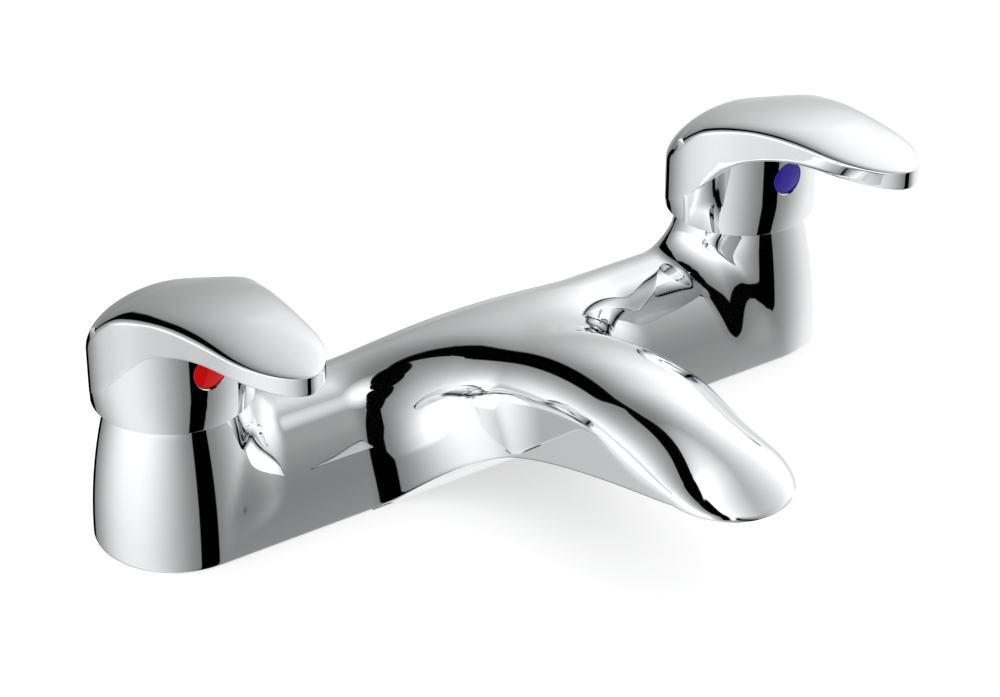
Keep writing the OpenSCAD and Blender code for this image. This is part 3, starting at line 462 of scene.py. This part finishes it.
# The two handles: die cast zinc, polished and chrome plated. A domed crown runs from the round skirt into the
# lever, whose edge is a band that fades into the skirt behind. Each is bored for bush, grub screw and button.
rim_z, skirt_r, hollow_r, hollow_h, boss_r = 40.2, 20.7, 17.7, 10.2, 9.8
lever_l, lever_h, lever_edge, head_r = 69.3, 38.8, 5.0, 20.8
round_share, tip_power, crown_power = 0.665, 1.72, 0.46
lip_round, button_up, bush_top = 0.7, 15.8, 58.8
round_u, boss_z, button_z = lever_l * round_share, rim_z + hollow_h, rim_z + button_up


def curve(points, x):
    """A smooth curve through points, with a slope at each taken from its neighbours."""
    px, py = np.array(points).T
    last = len(px) - 1
    at = np.arange(len(px))
    before, after = np.maximum(at - 1, 0), np.minimum(at + 1, last)
    slope = (py[after] - py[before]) / (px[after] - px[before])
    u = np.clip(x, px[0], px[-1])
    i = np.clip(np.searchsorted(px, u, side="right") - 1, 0, last - 1)
    w = px[i + 1] - px[i]
    t = (u - px[i]) / w
    return (py[i] * (1 + 2 * t) * (1 - t) ** 2 + slope[i] * w * t * (1 - t) ** 2
            + py[i + 1] * t * t * (3 - 2 * t) - slope[i + 1] * w * t * t * (1 - t))


# Each pair holds a share of the lever's length in front of the axis, and there the half width as a share of the
# head's radius, or the height over the rim of edge, crown or underside as a share of the lever's own height
width_shares = [(-0.1, 0.955), (0, 1), (0.1, 0.955), (0.25, 0.828), (0.404, 0.736), (0.55, 0.668),
                (round_share, 0.613)]
edge_shares = [(-0.3, 0.29), (-0.2, 0.31), (-0.087, 0.40), (-0.03, 0.51), (0.10, 0.728), (0.25, 0.845),
               (0.368, 0.905), (0.577, 0.957), (0.82, 0.987), (1, 1)]
crown_shares = [(-0.3, 0.31), (-0.247, 0.454), (-0.186, 0.588), (-0.105, 0.709), (0, 0.788), (0.1, 0.852),
                (0.25, 0.929), (0.404, 0.986), (0.55, 1.016), (round_share, 1.021)]
under_shares = [(-0.3, 0), (-0.16, 0.023), (-0.03, 0.151), (0.092, 0.36), (0.216, 0.62), (0.332, 0.778),
                (0.563, 0.947), (0.80, 1.001), (1, 1)]


def edge_z(u):
    """Height of the edge's upper side, u in front of the axis."""
    return rim_z + lever_h * curve(edge_shares, u / lever_l)


def crown_top(u):
    """Height of the crown along the middle."""
    return rim_z + lever_h * curve(crown_shares, u / lever_l)


def belly_z(u):
    """Height of the underside: not below the rim, and at least half the edge's height under its upper side."""
    hung = rim_z + (lever_h - lever_edge) * curve(under_shares, u / lever_l)
    return np.maximum(rim_z, np.minimum(edge_z(u) - lever_edge / 2, hung))


def head_w(u):
    """Half width of the head: a half circle behind the axis, the lever's plan in front of it."""
    behind = np.sqrt(np.maximum(head_r ** 2 - np.minimum(u, 0) ** 2, 1e-6))
    return np.where(u < 0, behind, head_r * curve(width_shares, u / lever_l))


def round_off(a):
    """How far the rounded tip reaches at the angle a, from the point where its rounding begins."""
    w = float(head_w(np.array(round_u)))
    return 1 / ((abs(math.cos(a)) / (lever_l - round_u)) ** tip_power
                + (abs(math.sin(a)) / w) ** tip_power) ** (1 / tip_power)


def head_skin():
    """The head as a closed mesh of upright cuts round its middle line, with rounded edges; u runs forward."""
    steps, fan, tip_fan, crown_rows, even_rounds, even_reach, rise_share = 90, 110, 90, 50, 120, 32, 0.3
    us = round_u * np.arange(steps + 1) / steps
    cuts = [(0, math.pi / 2 + math.pi * k / fan, head_r) for k in range(fan)]
    cuts += [(i, -math.pi / 2, float(head_w(us[i]))) for i in range(steps)]
    cuts += [(steps, -math.pi / 2 + math.pi * k / tip_fan, round_off(-math.pi / 2 + math.pi * k / tip_fan))
             for k in range(tip_fan + 1)]
    cuts += [(i, math.pi / 2, float(head_w(us[i]))) for i in range(steps - 1, 0, -1)]
    where = np.array([c[0] for c in cuts])
    angle, w = np.array([c[1] for c in cuts]), np.array([c[2] for c in cuts])
    u, way = us[where], np.column_stack([np.cos(angle), np.sin(angle)])
    rise = lever_edge * rise_share

    def point(t, z):
        """Points at the share t of the way out from the middle line, at the height z."""
        return np.column_stack([u + way[:, 0] * w * t, way[:, 1] * w * t, z])

    edge_u = u + way[:, 0] * w
    high, low = edge_z(edge_u), belly_z(edge_u)
    top = crown_top(u)
    mid = np.minimum(belly_z(u) + rise, top - lever_edge / 2)
    inside = 1 - lip_round / w
    rows = [point(t, mid + (low - mid) * t * t) for t in (0.2, 0.4, 0.6, 0.75, 0.86)]
    a, b, c = point(inside, mid + (low - mid) * inside ** 2), point(1.0, low), point(1.0, low + lip_round)
    rows += [(1 - t) ** 2 * a + 2 * t * (1 - t) * b + t * t * c for t in np.linspace(0, 1, 6)]
    rows += [point(1.0, low + lip_round + (high - low - lip_round) * t) for t in np.linspace(0, 1, 7)[1:]]
    hold = [1.0] * len(rows)
    for phi in np.linspace(0, math.pi / 2, crown_rows)[1:-1]:
        t = math.cos(phi)
        p = point(t, high)
        across = np.minimum(np.abs(p[:, 1]) / head_w(p[:, 0]), 1)
        along = edge_z(p[:, 0]) + (crown_top(p[:, 0]) - edge_z(p[:, 0])) * (1 - across ** 2) ** crown_power
        at_tip = high + (top - high) * (1 - t * t) ** crown_power
        p[:, 2] = np.where(where < steps, along, at_tip)
        rows.append(p)
        hold.append(float(ease(1.6 * t)))
    lows = np.column_stack([us, 0 * us, np.minimum(belly_z(us) + rise, crown_top(us) - lever_edge / 2)])
    tops = np.column_stack([us, 0 * us, crown_top(us)])
    # Where the tip's fan of cuts begins and ends, the cuts are evened out so that no crease shows in the polish
    rows = np.stack(rows, 1)
    even = rows.copy()
    for _ in range(even_rounds):
        even = (np.roll(even, 1, axis=0) + 2 * even + np.roll(even, -1, axis=0)) / 4
    at = np.arange(len(cuts))
    near = sum(ease(1 - np.abs(at - seam) / even_reach) for seam in (fan + steps, fan + steps + tip_fan))
    rows += near[:, None, None] * np.array(hold)[None, :, None] * (even - rows)
    return skin_of(rows, lows, tops, where)


def turned_to(shape, x):
    """Turns a handle shape so that its lever points forward (to -Y), on the pillar at x."""
    p = np.asarray(shape[0])
    return np.column_stack([x + p[:, 1], -p[:, 0], p[:, 2]]), shape[1]


def extruded(outline, low, high):
    """An upright prism on a closed outline."""
    n = len(outline)
    points = [(x, y, low) for x, y in outline] + [(x, y, high) for x, y in outline]
    sides = [(i, (i + 1) % n, n + (i + 1) % n, n + i) for i in range(n)]
    return points, sides + [tuple(range(n - 1, -1, -1)), tuple(range(n, 2 * n))]


handle_chrome = bright_chrome("chrome_plated_polished_zinc", "#f4f6f7", 0.000003)
bush_r, screw_r, button_r, button_t, seat_gap = 7.05, 2.55, 4.5, 2.6, 0.1
rim_round, round_step, ring_round, skirt_front = 0.2, 0.3, 0.3, -2.07
# The hollow's ceiling rises over the boss, the bush's hole ends above the bush, and the button's cutter ends here
ceiling_step, ceiling_rise, bush_gap, clear_r = 0.3, 0.6, 0.3, 24.0
skirt_top = float(edge_z(np.array(-skirt_front)))
skirt_us = skirt_front + (skirt_r - skirt_front) * np.sin(np.linspace(0, math.pi / 2, 60))
skirt_ws = np.minimum(head_w(np.maximum(skirt_us, 0)) - head_r + skirt_r,
                      np.sqrt(np.maximum(skirt_r ** 2 - skirt_us ** 2, 0)))
skirt_plan = list(zip(skirt_us, -skirt_ws)) + list(zip(skirt_us, skirt_ws))[-2::-1]
head, skirt = head_skin(), extruded(skirt_plan, boss_z - overrun, skirt_top)
low_wall = lathe([(0, rim_z), (skirt_r - rim_round, rim_z),
                  (skirt_r - round_step * rim_round, rim_z + round_step * rim_round),
                  (skirt_r, rim_z + rim_round), (skirt_r, boss_z), (0, boss_z)], turns=192)
inside = lathe([(0, rim_z - overrun), (hollow_r, rim_z - overrun), (hollow_r, boss_z + ceiling_step),
                (boss_r, boss_z + ceiling_rise * boss_r), (boss_r, boss_z), (0, boss_z)])
seat_floor, seat_r = skirt_r - button_t - seat_gap, button_r + seat_gap
for x, side in pillars:
    seat = lathe([(0, seat_floor), (seat_r, seat_floor), (seat_r, skirt_r - ring_round),
                  (seat_r + ring_round, skirt_r), (seat_r + ring_round, clear_r), (0, clear_r)],
                 (x, 0, button_z), "-y", 96)
    handle = machined(f"lever_handle_{side}", turned_to(head, x), [turned_to(low_wall, x), turned_to(skirt, x)],
                      [turned_to(inside, x), bore(bush_r, rim_z, bush_top + bush_gap, (x, 0, 0)),
                       bore(screw_r, 0, skirt_r, (x, 0, button_z), "-y", 48), seat])
    handle.data.materials.append(handle_chrome)
    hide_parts(f"handle_{side}")
    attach(handle, f"lever_{side}")


# The index buttons: red for hot and blue for cold, small domed plugs of coloured plastic, moulded with a high
# gloss. Each snaps into the seat in the front of its skirt, over the grub screw.
dome_r, button_edge = 18.0, 0.25


def index_button(x):
    """A plug with a domed face and a rounded edge; its dome stands as proud as the skirt is round."""
    face = skirt_r - dome_r
    out = button_r - button_edge
    dome = [(r, face + math.sqrt(dome_r ** 2 - r * r)) for r in np.linspace(0, out, 12)]
    shoulder = dome[-1][1]
    corner = [(out + button_edge * math.sin(a), shoulder - button_edge * (1 - math.cos(a)))
              for a in np.linspace(0, math.pi / 2, 6)[1:]]
    back = skirt_r - button_t
    return lathe([(0, back), (out, back), (button_r, back + button_edge)] + corner[::-1] + dome[::-1],
                 (x, 0, button_z), "-y", 96)


def moulded(name, colour, rough, grain, depth, swing=0.05):
    """A surface with a grain of a size and depth in millimetres that makes it a little lighter and darker."""
    material = bpy.data.materials.new(name)
    material.use_nodes = True
    tree = material.node_tree
    shader = tree.nodes["Principled BSDF"]
    shader.inputs["Roughness"].default_value = rough
    plain = linear(colour)
    dark, pale = ([c * s for c in plain[:3]] + [1.0] for s in (1 - swing, 1 + swing))
    place = add(tree, "ShaderNodeTexCoord").outputs["Object"]
    speckle = add(tree, "ShaderNodeTexNoise", [("Vector", place), ("Scale", 1000 / grain), ("Detail", 3.0)])
    # A mix node keeps its colours at inputs 6 and 7 and at output 2
    tint = add(tree, "ShaderNodeMix", [(0, speckle.outputs["Fac"]), (6, dark), (7, pale)], data_type="RGBA")
    bump = add(tree, "ShaderNodeBump", [("Height", speckle.outputs["Fac"]), ("Strength", 1.0),
                                        ("Distance", depth / 1000)])
    tree.links.new(tint.outputs[2], shader.inputs["Base Color"])
    tree.links.new(bump.outputs["Normal"], shader.inputs["Normal"])
    return material


# Glossy moulded ABS: a clear bright colour, with a sharp highlight that a faint orange peel of 1 mm bends
index_colours = {"hot": ("abs_moulded_red", "#e10a08"), "cold": ("abs_moulded_blue", "#3a2aa8")}
for x, side in pillars:
    button = machined(f"index_plug_{side}", index_button(x), [], [])
    name, colour = index_colours[side]
    button.data.materials.append(moulded(name, colour, 0.12, 1.0, 0.002, 0.02))
    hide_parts(f"index_button_{side}")
    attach(button, f"lever_{side}")


# The outlet: a chrome plated brass cage screwed up into the spout's end. It holds a plastic flow straightener, a
# grid of square cells, against a rubber seal.
cage_r, cage_low, cage_top, cage_bore, ledge_r, ledge_z = 9.25, 38.8, 42.0, 7.55, 6.7, 39.65
cage_pitch, cage_depth, chamfer, relief = 1.0, 0.3, 0.3, 0.2


def thread_tree():
    """Geometry nodes that wind a V ridge round a turned core: both end as one plain mesh."""
    tree = bpy.data.node_groups.new("screw_thread", "GeometryNodeTree")
    socket = tree.interface.new_socket
    socket("Geometry", in_out="INPUT", socket_type="NodeSocketGeometry")
    for size in ("Root radius", "Crest radius", "Pitch", "Length", "Start", "Across", "Forward"):
        socket(size, in_out="INPUT", socket_type="NodeSocketFloat")
    socket("Material", in_out="INPUT", socket_type="NodeSocketMaterial")
    socket("Geometry", in_out="OUTPUT", socket_type="NodeSocketGeometry")
    given = add(tree, "NodeGroupInput").outputs
    turns = add(tree, "ShaderNodeMath", [(0, given["Length"]), (1, given["Pitch"])], operation="DIVIDE").outputs[0]
    depth = add(tree, "ShaderNodeMath", [(0, given["Crest radius"]), (1, given["Root radius"])],
                operation="SUBTRACT").outputs[0]
    middle = add(tree, "ShaderNodeMath", [(0, depth), (1, 1 / 3), (2, given["Root radius"])],
                 operation="MULTIPLY_ADD").outputs[0]
    path = add(tree, "GeometryNodeCurveSpiral", [("Resolution", 48), ("Rotations", turns), ("Start Radius", middle),
               ("End Radius", middle), ("Height", given["Length"])]).outputs[0]
    path = add(tree, "GeometryNodeSetCurveNormal", [("Curve", path)], mode="Z_UP").outputs[0]
    # A ring of three points is the V; it is stretched to the thread's depth and nearly to its pitch
    point = add(tree, "ShaderNodeMath", [(0, depth), (1, 2 / 3)], operation="MULTIPLY").outputs[0]
    nearly = 0.97
    flank = add(tree, "ShaderNodeMath", [(0, given["Pitch"]), (1, nearly / math.sqrt(3))],
                operation="MULTIPLY").outputs[0]
    stretch = add(tree, "ShaderNodeCombineXYZ", [("X", point), ("Y", flank), ("Z", 1.0)]).outputs[0]
    vee = add(tree, "GeometryNodeCurvePrimitiveCircle", [("Resolution", 3), ("Radius", 1.0)]).outputs[0]
    vee = add(tree, "GeometryNodeTransform", [("Geometry", vee), ("Scale", stretch)]).outputs[0]
    ridge = add(tree, "GeometryNodeCurveToMesh", [("Curve", path), ("Profile Curve", vee), ("Fill Caps", True)])
    place = add(tree, "ShaderNodeCombineXYZ", [("X", given["Across"]), ("Y", given["Forward"]),
                                               ("Z", given["Start"])]).outputs[0]
    ridge = add(tree, "GeometryNodeTransform", [("Geometry", ridge.outputs[0]), ("Translation", place)]).outputs[0]
    ridge = add(tree, "GeometryNodeSetShadeSmooth", [("Geometry", ridge), ("Shade Smooth", False)]).outputs[0]
    whole = add(tree, "GeometryNodeJoinGeometry")
    tree.links.new(ridge, whole.inputs[0])
    tree.links.new(given["Geometry"], whole.inputs[0])
    plain = add(tree, "GeometryNodeRealizeInstances", [("Geometry", whole.outputs[0])]).outputs[0]
    plain = add(tree, "GeometryNodeSetMaterial", [("Geometry", plain), ("Material", given["Material"])]).outputs[0]
    add(tree, "NodeGroupOutput", [("Geometry", plain)])
    return tree


screw_thread = thread_tree()


def threaded(piece, material, **sizes):
    """Winds a thread on a piece; the sizes are in millimetres and named as the tree's inputs are."""
    step = piece.modifiers.new("thread", "NODES")
    step.node_group = screw_thread
    for item in screw_thread.interface.items_tree:
        size = item.name.lower().replace(" ", "_")
        if item.in_out == "INPUT" and size in sizes:
            step[item.identifier] = sizes[size] / 1000
        if item.in_out == "INPUT" and item.name == "Material":
            step[item.identifier] = material
    as_plain_mesh(piece)
    piece.data.materials.append(material)


cage_chrome = bright_chrome("chrome_plated_turned_brass", "#f1f3f4", 0.000002)
root = cage_r - cage_depth
cage = machined("outlet_cage", lathe(
    [(ledge_r, ledge_z), (ledge_r, cage_low + chamfer / 2), (ledge_r + chamfer / 2, cage_low),
     (cage_r - chamfer, cage_low), (cage_r, cage_low + chamfer), (cage_r, ledge_z - relief), (root, ledge_z),
     (root, cage_top - chamfer / 2), (root - chamfer / 2, cage_top), (cage_bore, cage_top), (cage_bore, ledge_z)],
    outlet), [], [])
threaded(cage, cage_chrome, root_radius=root, crest_radius=cage_r, pitch=cage_pitch,
         length=cage_top - ledge_z - cage_pitch, start=ledge_z + cage_pitch / 2, forward=outlet_y)
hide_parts("flow_cage")
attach(cage, "filler")


def finish(names, material):
    """Gives CAD nodes, which keep their own meshes, their material."""
    for name in names:
        piece = bpy.data.objects[name]
        piece.data.materials.clear()
        piece.data.materials.append(material)


# Moulded acetal: satin off-white; moulded nitrile rubber: nearly black and dull, with a fine bloom of 0.4 mm
acetal = moulded("acetal_moulded_white", "#e6e6e1", 0.4, 0.5, 0.004)
nitrile = moulded("nitrile_rubber_moulded", "#1f1f20", 0.55, 0.4, 0.01, 0.2)
finish(["flow_insert"], acetal)
finish(["flow_seal"], nitrile)


# The inlet tails: 3/4 inch BSP brass pipe ends turned from bar, with a plain nose that centres the connector.
# Each is screwed up into its pillar and passes down through the bath's rim.
thread_r, thread_root_r, thread_pitch, nose_r, nose_l, tail_l = 13.22, 12.06, 25.4 / 14, 11.9, 5.0, 60.0
tail_bore, tail_spigot_r, tail_spigot_h, break_edge = 9.0, 12.0, 8.0, 0.6


def turned_brass(name, colour, feed):
    """Brass straight from the lathe: yellow, half shiny, with tool marks at the feed in millimetres round it."""
    material = bpy.data.materials.new(name)
    material.use_nodes = True
    tree = material.node_tree
    shader = tree.nodes["Principled BSDF"]
    shader.inputs["Metallic"].default_value = 1.0
    place = add(tree, "ShaderNodeTexCoord").outputs["Object"]
    # The wave texture's bands are a tenth of pi divided by its scale apart
    marks = add(tree, "ShaderNodeTexWave", [("Vector", place), ("Scale", 100 * math.pi / feed), ("Distortion", 0.4),
                ("Detail", 1.0)], bands_direction="Z")
    tarnish = add(tree, "ShaderNodeTexNoise", [("Vector", place), ("Scale", 1000 / 6.0), ("Detail", 4.0)])
    bright = linear(colour)
    dull = [c * 0.82 for c in bright[:3]] + [1.0]
    tint = add(tree, "ShaderNodeMix", [(0, tarnish.outputs["Fac"]), (6, bright), (7, dull)], data_type="RGBA")
    rough = add(tree, "ShaderNodeMapRange", [("Value", tarnish.outputs["Fac"]), ("To Min", 0.2), ("To Max", 0.38)])
    bump = add(tree, "ShaderNodeBump", [("Height", marks.outputs["Fac"]), ("Strength", 1.0), ("Distance", 0.00001)])
    tree.links.new(tint.outputs[2], shader.inputs["Base Color"])
    tree.links.new(rough.outputs["Result"], shader.inputs["Roughness"])
    tree.links.new(bump.outputs["Normal"], shader.inputs["Normal"])
    return material


# Turned free cutting brass; the feed of 0.15 mm is drawn as 0.5 mm, the least that a render shows
brass = turned_brass("brass_turned", "#c9a55c", 0.5)
for x, side in pillars:
    tail = machined(f"inlet_tail_{side}", lathe(
        [(tail_bore, -tail_l + break_edge / 2), (tail_bore + break_edge / 2, -tail_l), (nose_r - break_edge, -tail_l),
         (nose_r, -tail_l + break_edge), (nose_r, nose_l - tail_l), (thread_root_r, nose_l - tail_l),
         (thread_root_r, -thread_pitch), (thread_r, -thread_pitch / 2), (thread_r, 0), (tail_spigot_r, 0),
         (tail_spigot_r, tail_spigot_h - break_edge), (tail_spigot_r - break_edge, tail_spigot_h),
         (tail_bore, tail_spigot_h)], (x, 0, 0)), [], [])
    threaded(tail, brass, root_radius=thread_root_r, crest_radius=thread_r, pitch=thread_pitch,
             length=tail_l - nose_l - 2 * thread_pitch, start=nose_l - tail_l + thread_pitch / 2, across=x)
    tail.visible_glossy = False
    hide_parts(f"tail_{side}")
    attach(tail, "filler")


# Under the rim: a hexagon backnut with a flange, hot pressed and turned brass, and a red fibre washer above it.
# Over the rim a rubber gasket lies in the foot of each pillar. The nut clamps all of them to the rim.
nut_low, nut_top, nut_half, flange_r, flange_t = -26.0, -17.0, 18.0, 21.5, 2.5
corner_r, washer_low, washer_top, washer_in_r = nut_half / math.cos(math.pi / 6), -17.0, -15.0, 13.52
pressed_edge, punched_edge, gasket_in, gasket_out, gasket_t, gasket_edge = 0.3, 0.15, 15.5, 20.0, 1.5, 0.3
cone_out, cone_top, cone_foot, nut_gap, lead_in = 3.0, 2.6, 0.3, 0.1, 1.1
nut_brass = turned_brass("brass_pressed_and_turned", "#bd9850", 0.7)
# Vulcanised fibre: dull red-brown with mottling of 1.2 mm
fibre = moulded("vulcanised_fibre_punched", "#7d3a2a", 0.7, 1.2, 0.02, 0.15)


def ring(inner, outer, low, high, edge):
    """Profile of a flat ring with eased outer and inner edges."""
    return [(inner, low + edge), (inner + edge, low), (outer - edge, low), (outer, low + edge), (outer, high - edge),
            (outer - edge, high), (inner + edge, high), (inner, high - edge)]


for x, side in pillars:
    at = (x, 0, 0)
    corners = [(x + corner_r * math.cos(k * math.pi / 3), corner_r * math.sin(k * math.pi / 3)) for k in range(6)]
    flange = lathe(ring(thread_r - overrun, flange_r, nut_top - flange_t, nut_top, pressed_edge), at)
    # A cone takes the corners off the lower face, and a bevel leads the thread in
    cone = lathe([(nut_half, nut_low - overrun), (corner_r + cone_out, nut_low - overrun),
                  (corner_r + cone_out, nut_low + cone_top), (nut_half, nut_low - cone_foot)], at)
    bevel = lathe([(0, nut_low - overrun), (thread_r + lead_in, nut_low - overrun),
                   (thread_r + nut_gap, nut_low + overrun), (thread_r + nut_gap, nut_top + overrun),
                   (0, nut_top + overrun)], at)
    nut = machined(f"flanged_backnut_{side}", extruded(corners, nut_low, nut_top - flange_t / 2), [flange],
                   [cone, bevel], 20)
    washer = machined(f"fibre_washer_{side}",
                      lathe(ring(washer_in_r, flange_r, washer_low, washer_top, punched_edge), at), [], [])
    gasket = machined(f"rubber_gasket_{side}", lathe(ring(gasket_in, gasket_out, 0.0, gasket_t, gasket_edge), at),
                      [], [])
    for piece, material, node, slot in ((nut, nut_brass, "backnut", "brass"), (washer, fibre, "tail_washer", "fibre"),
                                        (gasket, nitrile, "base_gasket", "rubber")):
        piece.data.materials.append(material)
        piece.visible_glossy = False
        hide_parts(f"{node}_{side}")
        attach(piece, "filler")


# The quarter turn valves: turned brass bodies and spindles, two lapped ceramic discs, rubber rings, a spring
# circlip, a splined acetal bush and a black hexagon socket screw. The handle hides them all.
# Lapped alumina: hard, white and nearly polished; spring steel: grey and oiled; black oxide steel: dark and satin
alumina = moulded("alumina_ceramic_lapped", "#ecebe4", 0.15, 0.3, 0.001, 0.02)
spring = moulded("spring_steel_oiled", "#80848a", 0.32, 0.6, 0.003)
oxide = moulded("steel_black_oxide", "#33353a", 0.42, 0.5, 0.003)
for metal in (spring, oxide):
    metal.node_tree.nodes["Principled BSDF"].inputs["Metallic"].default_value = 1.0
for side in ("hot", "cold"):
    finish([f"valve_body_{side}", f"spindle_{side}"], brass)
    finish([f"fixed_disc_{side}", f"moving_disc_{side}"], alumina)
    finish([f"seat_seal_{side}", f"valve_ring_{side}", f"spindle_rings_{side}"], nitrile)
    finish([f"circlip_{side}"], spring)
    finish([f"handle_bush_{side}"], acetal)
    finish([f"grub_screw_{side}"], oxide)
